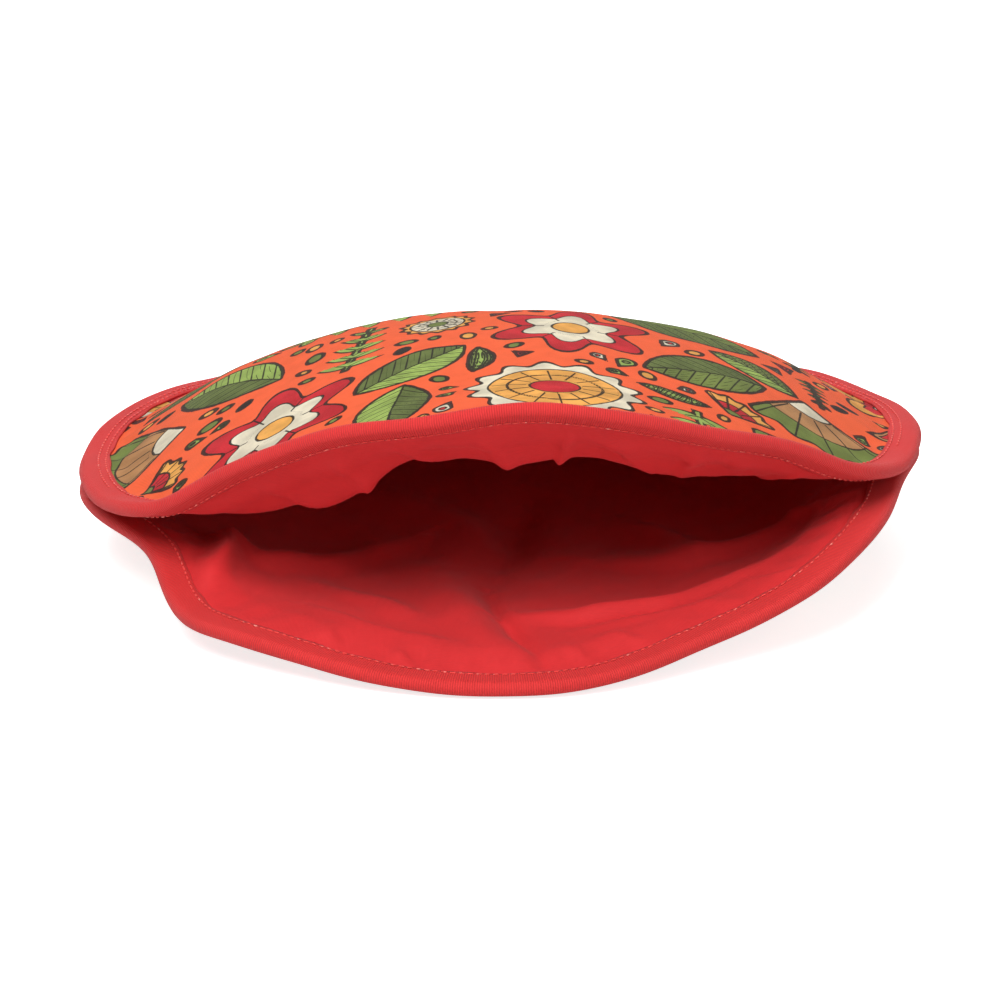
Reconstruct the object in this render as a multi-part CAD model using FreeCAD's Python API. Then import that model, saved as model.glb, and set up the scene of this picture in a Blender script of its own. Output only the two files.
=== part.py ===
import FreeCAD, Part
import math
import os

# Round quilted pouch that keeps flat breads warm. Two bound discs, each an outer cover, wadding
# and a lining, are sewn edge to edge round the back and sides and stay open at the front.
# Millimetres. +Z is up, the mouth faces -Y, and the pouch lies on z = 0 with its plan centred.

# Plan of the puffed pouch, to the raw edge of the discs
edge_half_width = 134.4
edge_half_depth = 145.4

# Seam where the two bound edges meet
seam_height = 34.0       # at the sides
seam_back_height = 25.0  # at the middle of the back
seam_tilt = 6.0          # the right side stands higher than the middle by this, the left lower
seam_tilt_kept = 0.4     # share of the tilt that is left at the back
tape_gap = 0.2           # between the facing stitch rows of the two bound edges

# Mouth
corner_angle = 65.0      # from the middle of the mouth to the corner where the seam begins
corner_softness = 0.3    # how gradually the lips part at the corner
lip_lift = 48.5          # rise of the upper lip's middle above the seam
lip_lean = 0.12          # the left of the lip lifts more by this share
lip_retreat = 27.0       # how far the raised lip draws back
lip_drop_power = 1.3     # how the lower lip falls from the corner to the table

# Upper dome and lower pillow
crown = 43.0             # dome height over the seam at the middle
crown_lean = 0.5         # fuller towards the mouth by this share
pillow_power = 5.0       # the flat bottom turns up near the seam
bottom_dip = 0.25        # pressed flat where the pouch lies on the table

# Slack of the lower lip: tucked under at the left corner, drawn straight right of the middle
tuck_at = (-0.85, -0.58)
tuck_reach = 0.26
tuck_drop = 9.0
tuck_in = 8.0
draw_at = (0.50, -0.87)
draw_reach = 0.30
draw_in = 5.0

# Layers
cover_thickness = 0.7
lining_thickness = 0.6
edge_wadding = 1.6       # wadding pressed flat inside the tape
upper_wadding = 7.0      # wadding at full loft
lower_wadding = 5.5
layer_gap = 0.15
sag_depth = 9.0          # the upper lining hangs away behind the lip
sag_at = 0.80
sag_reach = 0.13
sag_start = 0.25         # share of the way to the mouth where the sag begins

# Tape folded over each edge
tape_thickness = 0.7
tape_gap_inside = 0.15
tape_leg = 8.0
tape_join = 0.4          # between the tape's two ends at the back

# Thread
thread_width = 0.6
thread_height = 0.35
thread_gap = 0.05
stitch_inset = 1.5       # from the tape's inner edge to its stitch row
closing_inset = 4.0      # from the raw edge to the seam that joins the discs
closing_from = 78.0      # angle from the middle of the mouth where the joining seam starts

# The formed surfaces are nets of small flat patches, finer near the bound edge
panel_rings = 6
ring_crowding = 0.25
flat_within = 1e-6
patch_twist = 0.05       # a patch more twisted than this is folded along its diagonal
roll_steps = 4
leg_steps = 2

pack = cover_thickness + edge_wadding + lining_thickness + 2 * layer_gap
half_pack = pack / 2
tape_inside = half_pack + tape_gap_inside
tape_outside = tape_inside + tape_thickness
stitched_edge = tape_outside + thread_gap + thread_height
mid_to_seam = stitched_edge + tape_gap / 2
flange = tape_leg / edge_half_depth
flat_from = 1 - flange          # the disc lies flat in the tape beyond this share of its radius
bend = 0.5 * flange             # the bend inside the tape spreads over this share each way
corner_share = math.cos(math.radians(corner_angle)) ** 2


def ease(t):
    t = min(1.0, max(0.0, t))
    return t * t * (3 - 2 * t)


def soft_positive(value, width):
    """value where it is positive, nothing where it is negative, rounded over width."""
    if value > width:
        return value
    if value < -width:
        return 0.0
    return (value + width) ** 2 / (4 * width)


def opening(front):
    """0 along the seam and 1 at the middle of the mouth."""
    share = (front * abs(front) - corner_share) / (1 - corner_share)
    return soft_positive(share, corner_softness)


def bump(dx, dy, centre, reach):
    return math.exp(-((dx - centre[0]) ** 2 + (dy - centre[1]) ** 2) / reach ** 2)


def seam_level(dx, dy):
    back = ease(dy)
    tilt = seam_tilt * dx * (1 - (1 - seam_tilt_kept) * ease(1.4 * dy))
    return seam_height - (seam_height - seam_back_height) * back + tilt


def upper_middle(dx, dy):
    """The upper disc's middle surface in its tape, carried on over the dome."""
    lift = opening(-dy)
    bulge = soft_positive(1 - (dx * dx + dy * dy) / (flat_from - bend) ** 2, 2 * bend)
    x = edge_half_width * dx
    y = edge_half_depth * dy + lip_retreat * (1 - (1 - lift) ** 3)
    z = seam_level(dx, dy) + mid_to_seam
    z += lip_lift * lift * (1 - lip_lean * dx) + crown * bulge * (1 - crown_lean * dy)
    return FreeCAD.Vector(x, y, z)


def lower_middle(dx, dy):
    """The lower disc's middle surface in its tape, carried on under the pillow."""
    radius = math.hypot(dx, dy)
    tuck = bump(dx, dy, tuck_at, tuck_reach)
    draw = bump(dx, dy, draw_at, draw_reach)
    closed = max(0.0, 1 - opening(-dy / max(radius, 0.2))) ** lip_drop_power
    rim = stitched_edge + (seam_level(dx, dy) - mid_to_seam - stitched_edge) * closed
    rim -= tuck_drop * tuck
    floor = half_pack - bottom_dip
    flat = soft_positive(1 - (radius / (flat_from - bend)) ** pillow_power, 4 * bend)
    x = edge_half_width * dx + tuck_in * tuck
    y = edge_half_depth * dy + draw_in * draw
    return FreeCAD.Vector(x, y, floor + (rim - floor) * (1 - min(1.0, flat)))


def normal(surface, dx, dy):
    step = 0.001
    along_x = surface(dx + step, dy) - surface(dx - step, dy)
    along_y = surface(dx, dy + step) - surface(dx, dy - step)
    return along_x.cross(along_y).normalize()


def loft_in(dx, dy):
    """0 in the tape and 1 where the wadding has its full loft."""
    return ease((flat_from - math.hypot(dx, dy)) / (2 * flange))


def upper_depth(dx, dy):
    """From the upper cover's outside to the lining's inside."""
    full = cover_thickness + upper_wadding + lining_thickness + 2 * layer_gap
    forward = ease((-dy - sag_start) / (1 - sag_start))
    sag = sag_depth * forward * math.exp(-((math.hypot(dx, dy) - sag_at) / sag_reach) ** 2)
    return pack + (full - pack + sag) * loft_in(dx, dy)


def lower_depth(dx, dy):
    full = cover_thickness + lower_wadding + lining_thickness + 2 * layer_gap
    return pack + (full - pack) * loft_in(dx, dy)


def net_marks():
    """Ring radii of the net from one edge of the disc to the other, the tape's inner edge among them."""
    even = [i / panel_rings for i in range(1, panel_rings + 1)]
    inner = [flat_from * share * (1 + ring_crowding * (1 - share)) for share in even]
    rings = inner + [1.0]
    return [-ring for ring in reversed(rings)] + [0.0] + rings


def on_disc(a, b):
    """Concentric squares laid over concentric circles."""
    if abs(a) >= abs(b):
        turn = math.pi / 4 * b / a if a else 0.0
        return a * math.cos(turn), a * math.sin(turn)
    turn = math.pi / 4 * a / b
    return b * math.sin(turn), b * math.cos(turn)


def disc_points():
    marks = net_marks()
    return [[on_disc(a, b) for b in marks] for a in marks]


def flat_face(corners):
    return Part.Face(Part.makePolygon(corners + corners[:1]))


def patch(a, b, c, d):
    """The patch from edge a-b to edge c-d: flat or ruled where it can be, else folded in two."""
    lean = (b - a).cross(c - a).normalize()
    twist = abs((d - a).dot(lean))
    if twist < flat_within:
        return [flat_face([a, b, d, c])]
    if twist < patch_twist:
        return [Part.makeRuledSurface(Part.makeLine(a, b), Part.makeLine(c, d))]
    return [flat_face([a, b, d]), flat_face([a, d, c])]


def formed(points):
    """A skin of small patches over a net of points."""
    faces = []
    for row, following in zip(points, points[1:]):
        for i in range(len(row) - 1):
            faces += patch(row[i], row[i + 1], following[i], following[i + 1])
    return faces


def borders(points):
    """The four border rows of a net."""
    return [points[0], [row[-1] for row in points], points[-1], [row[0] for row in points]]


def closed_solid(faces):
    shell = Part.makeShell(faces)
    shell.sewShape()
    if not shell.isClosed():
        raise RuntimeError("a piece's faces don't close")
    solid = Part.makeSolid(shell)
    if solid.Volume < 0:
        solid.reverse()
    return solid


def between(outer_points, inner_points):
    """The solid between two skins with the same net."""
    faces = formed(outer_points) + formed(inner_points)
    for outer_row, inner_row in zip(borders(outer_points), borders(inner_points)):
        faces += formed([outer_row, inner_row])
    return closed_solid(faces)


def on_table(point):
    """Nothing reaches below the table: what would is pressed flat on it."""
    return FreeCAD.Vector(point.x, point.y, max(0.0, point.z))


def layer(surface, outer_offset, inner_offset):
    """A layer of a disc, between two distances from its middle surface."""
    outer = []
    inner = []
    for row in disc_points():
        outer.append([on_table(surface(*p) + normal(surface, *p) * outer_offset(*p)) for p in row])
        inner.append([surface(*p) + normal(surface, *p) * inner_offset(*p) for p in row])
    return between(outer, inner)


def rim_frame(surface, angle):
    """Disc direction, edge point, outward and up directions at an angle from the mouth's middle."""
    turn = math.radians(angle)
    direction = (math.sin(turn), -math.cos(turn))
    edge = surface(*direction)
    step = 0.001
    ahead = (math.sin(turn + step), -math.cos(turn + step))
    along = (surface(*ahead) - edge).normalize()
    up = normal(surface, *direction)
    outward = along.cross(up).normalize()
    return direction, edge, outward, up


def on_leg(surface, angle, inset, offset):
    """A point over the disc's flat edge, inset from its raw edge and offset from its middle."""
    direction, edge, outward, up = rim_frame(surface, angle)
    step = 0.01
    inner = surface(direction[0] * (1 - step), direction[1] * (1 - step))
    share = 1 - step * inset / abs((edge - inner).dot(outward))
    place = (direction[0] * share, direction[1] * share)
    return surface(*place) + normal(surface, *place) * offset


def tape_row(surface, angle, half_height):
    direction, edge, outward, up = rim_frame(surface, angle)
    row = [on_leg(surface, angle, tape_leg * (1 - i / leg_steps), half_height) for i in range(leg_steps)]
    for i in range(roll_steps + 1):
        turn = math.pi / 2 - math.pi * i / roll_steps
        row.append(edge + outward * (half_height * math.cos(turn)) + up * (half_height * math.sin(turn)))
    row += [on_leg(surface, angle, tape_leg * (i + 1) / leg_steps, -half_height) for i in range(leg_steps)]
    return row


def rim_angles(start, end):
    """The start, the net's own angles round the disc, and the end, from the mouth's middle."""
    marks = [45 * mark for mark in net_marks()[1:]]
    own = [quarter + mark for quarter in range(-180, 541, 90) for mark in marks]
    clear = 0.5
    return [start] + [angle for angle in own if start + clear < angle < end - clear] + [end]


def back_gap():
    return math.degrees(tape_join / 2 / edge_half_width)


def tape(surface):
    angles = rim_angles(-180 + back_gap(), 180 - back_gap())
    outer = [tape_row(surface, angle, tape_outside) for angle in angles]
    inner = [tape_row(surface, angle, tape_inside) for angle in angles]
    return between(outer, inner)


def thread(surface, inset, side, start, end):
    """A row of thread that lies on the tape, on its upper (1) or under (-1) side."""
    low = side * (tape_outside + thread_gap)
    high = side * (tape_outside + thread_gap + thread_height)
    near = inset - thread_width / 2
    far = inset + thread_width / 2
    angles = rim_angles(start, end)
    low_rows = [[on_leg(surface, angle, place, low) for place in (near, far)] for angle in angles]
    high_rows = [[on_leg(surface, angle, place, high) for place in (near, far)] for angle in angles]
    return between(low_rows, high_rows)


def binding_stitching(surface):
    around = (-180 + back_gap(), 180 - back_gap())
    rows = [thread(surface, tape_leg - stitch_inset, side, *around) for side in (1, -1)]
    return Part.makeCompound(rows)


def closing_seam():
    over = thread(upper_middle, closing_inset, 1, closing_from, 360 - closing_from)
    under = thread(lower_middle, closing_inset, -1, closing_from, 360 - closing_from)
    return Part.makeCompound([over, under])


def disc_layers(surface, outside, depth):
    """Cover, wadding and lining of one disc. outside is 1 where the cover faces up, else -1."""
    face = half_pack * outside

    def at(distance):
        return lambda dx, dy: face - outside * distance

    def from_lining(distance):
        return lambda dx, dy: face - outside * (depth(dx, dy) - distance)

    cover = layer(surface, at(0), at(cover_thickness))
    wadding = layer(surface, at(cover_thickness + layer_gap), from_lining(lining_thickness + layer_gap))
    lining = layer(surface, from_lining(lining_thickness), from_lining(0))
    return cover, wadding, lining


def build():
    upper_cover, upper_pad, upper_lining = disc_layers(upper_middle, 1, upper_depth)
    lower_cover, lower_pad, lower_lining = disc_layers(lower_middle, -1, lower_depth)
    return {
        "upper_cover": upper_cover,
        "upper_wadding": upper_pad,
        "upper_lining": upper_lining,
        "upper_binding": tape(upper_middle),
        "upper_binding_stitching": binding_stitching(upper_middle),
        "lower_cover": lower_cover.removeSplitter(),
        "lower_wadding": lower_pad,
        "lower_lining": lower_lining,
        "lower_binding": tape(lower_middle),
        "lower_binding_stitching": binding_stitching(lower_middle),
        "closing_seam": closing_seam(),
    }


os.makedirs("parts", exist_ok=True)
for node, shape in build().items():
    shape.exportStep("parts/" + node + ".step")
    box = shape.BoundBox
    print(node, shape.isValid(), len(shape.Solids), len(shape.Faces), round(shape.Volume), "mm3",
          [round(v, 1) for v in (box.XMin, box.YMin, box.ZMin, box.XMax, box.YMax, box.ZMax)])
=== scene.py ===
import math
import bpy
import numpy as np
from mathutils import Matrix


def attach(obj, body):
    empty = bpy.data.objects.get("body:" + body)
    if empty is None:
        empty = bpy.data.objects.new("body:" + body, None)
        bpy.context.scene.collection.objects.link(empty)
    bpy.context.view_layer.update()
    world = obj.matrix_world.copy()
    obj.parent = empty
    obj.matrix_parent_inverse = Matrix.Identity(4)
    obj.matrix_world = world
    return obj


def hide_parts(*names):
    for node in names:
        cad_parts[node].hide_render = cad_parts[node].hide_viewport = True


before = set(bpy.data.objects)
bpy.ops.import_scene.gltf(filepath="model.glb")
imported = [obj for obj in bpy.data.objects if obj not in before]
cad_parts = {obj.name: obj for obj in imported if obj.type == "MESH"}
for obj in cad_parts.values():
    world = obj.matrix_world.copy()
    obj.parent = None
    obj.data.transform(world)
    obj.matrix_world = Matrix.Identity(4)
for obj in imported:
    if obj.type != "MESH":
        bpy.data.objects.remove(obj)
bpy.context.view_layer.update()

# The pouch's form, in millimetres. It repeats the values of the CAD part.
pouch = {
    "halfWidth": 134.4, "halfDepth": 145.4,
    "seamHeight": 34.0, "seamBackHeight": 25.0, "seamTilt": 6.0, "seamTiltKept": 0.4, "tapeGap": 0.2,
    "cornerAngle": 65.0, "cornerSoftness": 0.3,
    "lipLift": 48.5, "lipLean": 0.12, "lipRetreat": 27.0, "lipDropPower": 1.3,
    "crown": 43.0, "crownLean": 0.5, "pillowPower": 5.0, "bottomDip": 0.25,
    "tuckAt": (-0.85, -0.58), "tuckReach": 0.26, "tuckDrop": 9.0, "tuckIn": 8.0,
    "drawAt": (0.50, -0.87), "drawReach": 0.30, "drawIn": 5.0,
    "cover": 0.7, "lining": 0.6, "layerGap": 0.15,
    "edgeWadding": 1.6, "upperWadding": 7.0, "lowerWadding": 5.5,
    "sagDepth": 9.0, "sagAt": 0.80, "sagReach": 0.13, "sagStart": 0.25,
    "tape": 0.7, "tapeGapInside": 0.15, "tapeLeg": 8.0, "tapeJoin": 0.4,
    "threadHeight": 0.35, "threadGap": 0.05, "stitchInset": 1.5, "closingInset": 4.0, "closingFrom": 78.0,
    "flatRadius": 152.5,  # of the cut discs
    "toMetres": 0.001,
    # Where the photographed pouch strays from the plain form: disc point, reach, move in mm
    "strays": {
        "upper": [((-0.66, 0.20), 0.28, (0, 0, 3.6)), ((-0.25, 0.20), 0.28, (0, 0, 1.6)),
                  ((0.68, 0.22), 0.22, (0, 0, 3.4))],
        "lower": [((-0.94, -0.34), 0.17, (8.5, 0, 0)), ((-0.76, -0.66), 0.22, (-5.5, -2.0, 0)),
                  ((0.46, -0.89), 0.25, (-1.0, 3.0, 2.6)), ((0.97, -0.26), 0.16, (-3.5, 0, 0.5))],
        "seam": [((0.95, 0.25), 0.34, -3.0), ((-0.95, 0.22), 0.30, -2.2)],
    },
    # The upper lining hangs lower in these places: disc point, reach, depth in mm
    "sags": [((-0.45, -0.66), 0.20, 5.5), ((-0.64, -0.50), 0.16, 4.0),
             ((0.45, -0.66), 0.18, 6.5), ((0.02, -0.80), 0.10, 1.5)],
}
pack = pouch["cover"] + pouch["edgeWadding"] + pouch["lining"] + 2 * pouch["layerGap"]
halfPack = pack / 2
tapeInside = halfPack + pouch["tapeGapInside"]
tapeOutside = tapeInside + pouch["tape"]
stitchedEdge = tapeOutside + pouch["threadGap"] + pouch["threadHeight"]
midToSeam = stitchedEdge + pouch["tapeGap"] / 2
flange = pouch["tapeLeg"] / pouch["halfDepth"]
flatFrom = 1 - flange
bend = 0.5 * flange
cornerShare = math.cos(math.radians(pouch["cornerAngle"])) ** 2


def ease(t):
    t = np.clip(t, 0.0, 1.0)
    return t * t * (3 - 2 * t)


def softPositive(value, width):
    return np.where(value > width, value, np.where(value < -width, 0.0, (value + width) ** 2 / (4 * width)))


def opening(front):
    share = (front * np.abs(front) - cornerShare) / (1 - cornerShare)
    return softPositive(share, pouch["cornerSoftness"])


def bump(dx, dy, centre, reach):
    return np.exp(-((dx - centre[0]) ** 2 + (dy - centre[1]) ** 2) / reach ** 2)


def ripples(x, y, pitch, seed):
    # A smooth random surface, from -1 to 1 or so, made of a few slanted waves.
    rng = np.random.default_rng(seed)
    total = np.zeros_like(x)
    for i in range(9):
        turn = rng.uniform(0, math.pi)
        scale = pitch * rng.uniform(0.7, 1.6)
        phase = rng.uniform(0, 2 * math.pi)
        total += np.sin((x * math.cos(turn) + y * math.sin(turn)) * 2 * math.pi / scale + phase)
    return total / 4.0


def seamLevel(dx, dy):
    back = ease(dy)
    tilt = pouch["seamTilt"] * dx * (1 - (1 - pouch["seamTiltKept"]) * ease(1.4 * dy))
    angle = np.arctan2(dx, -dy)
    wave = 0.45 * np.sin(9 * angle + 0.7) + 0.3 * np.sin(17 * angle + 2.1)
    for centre, reach, drop in pouch["strays"]["seam"]:
        tilt = tilt + drop * bump(dx, dy, centre, reach)
    level = pouch["seamHeight"] - (pouch["seamHeight"] - pouch["seamBackHeight"]) * back + tilt
    return level + wave * np.hypot(dx, dy) ** 6  # the edge ripples, the disc's middle doesn't


def strayed(points, dx, dy, which):
    for centre, reach, move in pouch["strays"][which]:
        points = points + bump(dx, dy, centre, reach)[..., None] * np.array(move, dtype=float)
    return points


def upperMiddle(dx, dy):
    p = pouch
    lift = opening(-dy)
    bulge = softPositive(1 - (dx * dx + dy * dy) / (flatFrom - bend) ** 2, 2 * bend)
    x = p["halfWidth"] * dx
    y = p["halfDepth"] * dy + p["lipRetreat"] * (1 - (1 - lift) ** 3)
    z = seamLevel(dx, dy) + midToSeam + p["lipLift"] * lift * (1 - p["lipLean"] * dx)
    z = z + p["crown"] * bulge * (1 - p["crownLean"] * dy)
    z = z + 0.7 * lift * np.sin(11 * dx + 0.6) * np.exp(-((np.hypot(dx, dy) - 1) / 0.2) ** 2)
    return strayed(np.stack([x, y, z], -1), dx, dy, "upper")


def lowerMiddle(dx, dy):
    p = pouch
    radius = np.hypot(dx, dy)
    tuck = bump(dx, dy, p["tuckAt"], p["tuckReach"])
    draw = bump(dx, dy, p["drawAt"], p["drawReach"])
    closed = np.maximum(0.0, 1 - opening(-dy / np.maximum(radius, 0.2))) ** p["lipDropPower"]
    rim = stitchedEdge + (seamLevel(dx, dy) - midToSeam - stitchedEdge) * closed - p["tuckDrop"] * tuck
    floor = halfPack - p["bottomDip"]
    flat = softPositive(1 - (radius / (flatFrom - bend)) ** p["pillowPower"], 4 * bend)
    x = p["halfWidth"] * dx + p["tuckIn"] * tuck
    y = p["halfDepth"] * dy + p["drawIn"] * draw
    z = floor + (rim - floor) * (1 - np.minimum(1.0, flat))
    return strayed(np.stack([x, y, z], -1), dx, dy, "lower")


def unit(vectors):
    return vectors / np.maximum(np.linalg.norm(vectors, axis=-1, keepdims=True), 1e-9)


def normal(surface, dx, dy):
    step = 0.001
    alongX = surface(dx + step, dy) - surface(dx - step, dy)
    alongY = surface(dx, dy + step) - surface(dx, dy - step)
    return unit(np.cross(alongX, alongY))


def loftIn(dx, dy):
    return ease((flatFrom - np.hypot(dx, dy)) / (2 * flange))


def upperDepth(dx, dy):
    p = pouch
    full = p["cover"] + p["upperWadding"] + p["lining"] + 2 * p["layerGap"]
    forward = ease((-dy - p["sagStart"]) / (1 - p["sagStart"]))
    angle = np.arctan2(dx, -dy)
    uneven = 1 + 0.22 * np.sin(7 * angle + 0.4) + 0.16 * np.sin(13 * angle + 2.0)
    sag = p["sagDepth"] * forward * uneven * np.exp(-((np.hypot(dx, dy) - p["sagAt"]) / p["sagReach"]) ** 2)
    for centre, reach, depth in p["sags"]:
        sag = sag + depth * bump(dx, dy, centre, reach)
    return pack + (full - pack + sag) * loftIn(dx, dy)


def lowerDepth(dx, dy):
    p = pouch
    full = p["cover"] + p["lowerWadding"] + p["lining"] + 2 * p["layerGap"]
    return pack + (full - pack) * loftIn(dx, dy)


def stroke(dx, dy, points, reach, height, skew):
    # A fold of cloth along a line of disc points: round when skew is 0, steep on its left when skew is 1.
    best = np.full(dx.shape, 9.0)
    side = np.zeros_like(dx)
    along = np.zeros_like(dx)
    count = len(points) - 1
    for i in range(count):
        ax, ay = points[i]
        bx, by = points[i + 1]
        length = math.hypot(bx - ax, by - ay)
        ux, uy = (bx - ax) / length, (by - ay) / length
        t = np.clip(((dx - ax) * ux + (dy - ay) * uy) / length, 0, 1)
        away = np.hypot(dx - ax - t * length * ux, dy - ay - t * length * uy)
        left = (dy - ay) * ux - (dx - ax) * uy
        near = away < best
        best = np.where(near, away, best)
        side = np.where(near, np.sign(left), side)
        along = np.where(near, (i + t) / count, along)
    width = np.where(side > 0, reach * (1 - 0.75 * skew), reach)
    taper = 0.25 + 0.75 * np.sin(math.pi * np.clip(along, 0.03, 0.97))
    return height * np.exp(-(best / width) ** 2) * taper


# Folds of the linings as the photograph shows them: disc points, reach, height in mm, skew
folds = {
    "lower": [
        ([(0.10, 0.40), (0.03, 0.0), (-0.04, -0.40)], 0.070, -4.0, 0.2),
        ([(-0.05, -0.36), (-0.03, -0.56), (0.02, -0.74), (0.07, -0.90)], 0.026, -3.2, 0.5),
        ([(0.56, -0.54), (0.36, -0.62), (0.16, -0.64), (0.0, -0.60)], 0.060, 4.6, 0.7),
        ([(-0.16, -0.24), (-0.12, -0.50), (-0.09, -0.70), (-0.02, -0.88)], 0.060, 3.6, 0.0),
        ([(-0.20, -0.02), (-0.42, -0.24), (-0.60, -0.30), (-0.72, -0.24)], 0.080, 5.0, 0.7),
        ([(0.84, -0.10), (0.70, -0.20), (0.46, -0.26), (0.20, -0.20)], 0.075, 4.6, 0.6),
        ([(0.30, 0.10), (0.42, -0.10), (0.50, -0.34)], 0.060, 3.4, 0.4),
        ([(0.74, -0.44), (0.58, -0.56), (0.40, -0.64)], 0.040, 2.6, 0.4),
        ([(0.16, -0.72), (0.30, -0.72), (0.46, -0.70)], 0.030, 1.6, 0.4),
        ([(-0.50, -0.58), (-0.34, -0.72), (-0.14, -0.80)], 0.045, 2.4, 0.4),
        ([(-0.44, -0.40), (-0.30, -0.50), (-0.22, -0.62)], 0.050, 2.4, 0.3),
        ([(-0.30, 0.34), (-0.10, 0.10), (0.0, -0.2)], 0.080, 3.0, 0.3),
        ([(0.70, -0.14), (0.80, -0.22), (0.86, -0.34)], 0.030, 2.6, 0.6),
        ([(0.24, -0.80), (0.30, -0.86), (0.34, -0.91)], 0.024, 1.6, 0.3),
        ([(0.12, -0.82), (0.15, -0.88), (0.16, -0.93)], 0.020, 1.2, 0.2),
        ([(-0.30, -0.82), (-0.27, -0.87), (-0.25, -0.92)], 0.024, 1.4, 0.2),
        ([(-0.46, -0.74), (-0.44, -0.79), (-0.43, -0.84)], 0.022, 1.2, 0.2),
        ([(0.60, -0.62), (0.66, -0.64), (0.70, -0.64)], 0.024, 1.4, 0.3),
        ([(-0.80, -0.54), (-0.75, -0.34), (-0.68, -0.14)], 0.075, 8.5, 0.75),  # tucked into the corner
    ],
    "upper": [
        ([(0.12, -0.95), (0.13, -0.84), (0.10, -0.74)], 0.018, 2.6, 0.6),
        ([(0.16, -0.92), (0.27, -0.86), (0.38, -0.76)], 0.022, 2.8, 0.6),
        ([(0.37, -0.88), (0.44, -0.80), (0.46, -0.70)], 0.024, 2.6, 0.5),
        ([(0.42, -0.86), (0.53, -0.76), (0.58, -0.66)], 0.022, 2.0, 0.5),
        ([(-0.30, -0.92), (-0.24, -0.84), (-0.12, -0.78)], 0.028, 2.4, 0.4),
        ([(-0.12, -0.95), (-0.04, -0.86), (0.02, -0.76)], 0.028, 2.2, 0.4),
        ([(-0.62, -0.72), (-0.54, -0.66), (-0.40, -0.66)], 0.032, 2.2, 0.4),
        ([(-0.44, -0.84), (-0.40, -0.76), (-0.38, -0.66)], 0.024, 1.8, 0.4),
        ([(0.70, -0.62), (0.66, -0.56), (0.60, -0.50)], 0.026, 1.6, 0.4),
    ],
}


# Slack of each cloth: swells as (height, pitch, seed); gathers near the tape as
# (height, count, drift, drifts, radius, reach)
slack = {
    "fadeAtTape": 0.05,
    "lowerLining": {"swells": [(0.7, 0.42, 11), (0.28, 0.15, 12)],
                    "gathers": [(0.35, 64, 3, 5, 0.90, 0.05)]},
    "upperLining": {"swells": [(0.8, 0.34, 21), (0.2, 0.12, 22)], "gathers": []},
    "upperCover": {"swells": [(0.55, 0.5, 31), (0.22, 0.2, 32)],
                   "gathers": [(0.40, 57, 4, 3, 0.91, 0.035), (0.30, 23, 2, 4, 0.86, 0.07)]},
    "lowerCover": {"swells": [(0.55, 0.5, 41), (0.22, 0.2, 42)],
                   "gathers": [(0.40, 57, 4, 3, 0.91, 0.035), (0.30, 23, 2, 4, 0.86, 0.07)]},
    "lowerCoverShare": 0.5,  # the weight of the pouch presses the underside smoother
}


def slackOf(name, dx, dy, strokes=()):
    radius = np.hypot(dx, dy)
    angle = np.arctan2(dx, -dy)
    total = sum((stroke(dx, dy, *fold) for fold in strokes), np.zeros_like(dx))
    for height, pitch, seed in slack[name]["swells"]:
        total = total + height * ripples(dx, dy, pitch, seed)
    for height, count, drift, drifts, middle, reach in slack[name]["gathers"]:
        wave = np.sin(count * angle + drift * np.sin(drifts * angle))
        total = total + height * wave * np.exp(-((radius - middle) / reach) ** 2)
    return total * ease((flatFrom - radius) / slack["fadeAtTape"])


def lowerFolds(dx, dy):
    return slackOf("lowerLining", dx, dy, folds["lower"])


def upperFolds(dx, dy):
    return slackOf("upperLining", dx, dy, folds["upper"])


def upperSlack(dx, dy):
    return slackOf("upperCover", dx, dy)


def lowerSlack(dx, dy):
    return -slackOf("lowerCover", dx, dy) * slack["lowerCoverShare"]


def discGrid(cells):
    # Concentric squares laid over concentric circles.
    marks = np.linspace(-1, 1, cells + 1)
    a, b = np.meshgrid(marks, marks, indexing="ij")
    wide = np.abs(a) >= np.abs(b)
    safeA = np.where(a == 0, 1, a)
    safeB = np.where(b == 0, 1, b)
    turnA = math.pi / 4 * b / safeA
    turnB = math.pi / 4 * a / safeB
    dx = np.where(wide, a * np.cos(turnA), b * np.sin(turnB))
    dy = np.where(wide, a * np.sin(turnA), b * np.cos(turnB))
    return dx, dy


def borderLoop(cells):
    last = cells
    side = np.arange(cells)
    loop = [side * (cells + 1), last * (cells + 1) + side, (last - side) * (cells + 1) + last, last - side]
    return np.concatenate(loop)


def gridQuads(cells):
    i, j = np.meshgrid(np.arange(cells), np.arange(cells), indexing="ij")
    first = i * (cells + 1) + j
    return np.stack([first, first + cells + 1, first + cells + 2, first + 1], -1).reshape(-1, 4)


def addMesh(name, points, faces):
    mesh = bpy.data.meshes.new(name)
    mesh.from_pydata((points * pouch["toMetres"]).tolist(), [], faces)
    mesh.update()
    mesh.shade_smooth()
    piece = bpy.data.objects.new(name, mesh)
    bpy.context.scene.collection.objects.link(piece)
    return piece


def spread(piece, u, v):
    # The piece's cloth laid flat, in metres, as its UV map
    layer = piece.data.uv_layers.new(name="flat")
    corners = np.empty(len(piece.data.loops), dtype=np.int32)
    piece.data.loops.foreach_get("vertex_index", corners)
    flat = np.stack([u[corners], v[corners]], -1) * pouch["toMetres"]
    layer.data.foreach_set("uv", flat.astype(np.float32).ravel())


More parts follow.
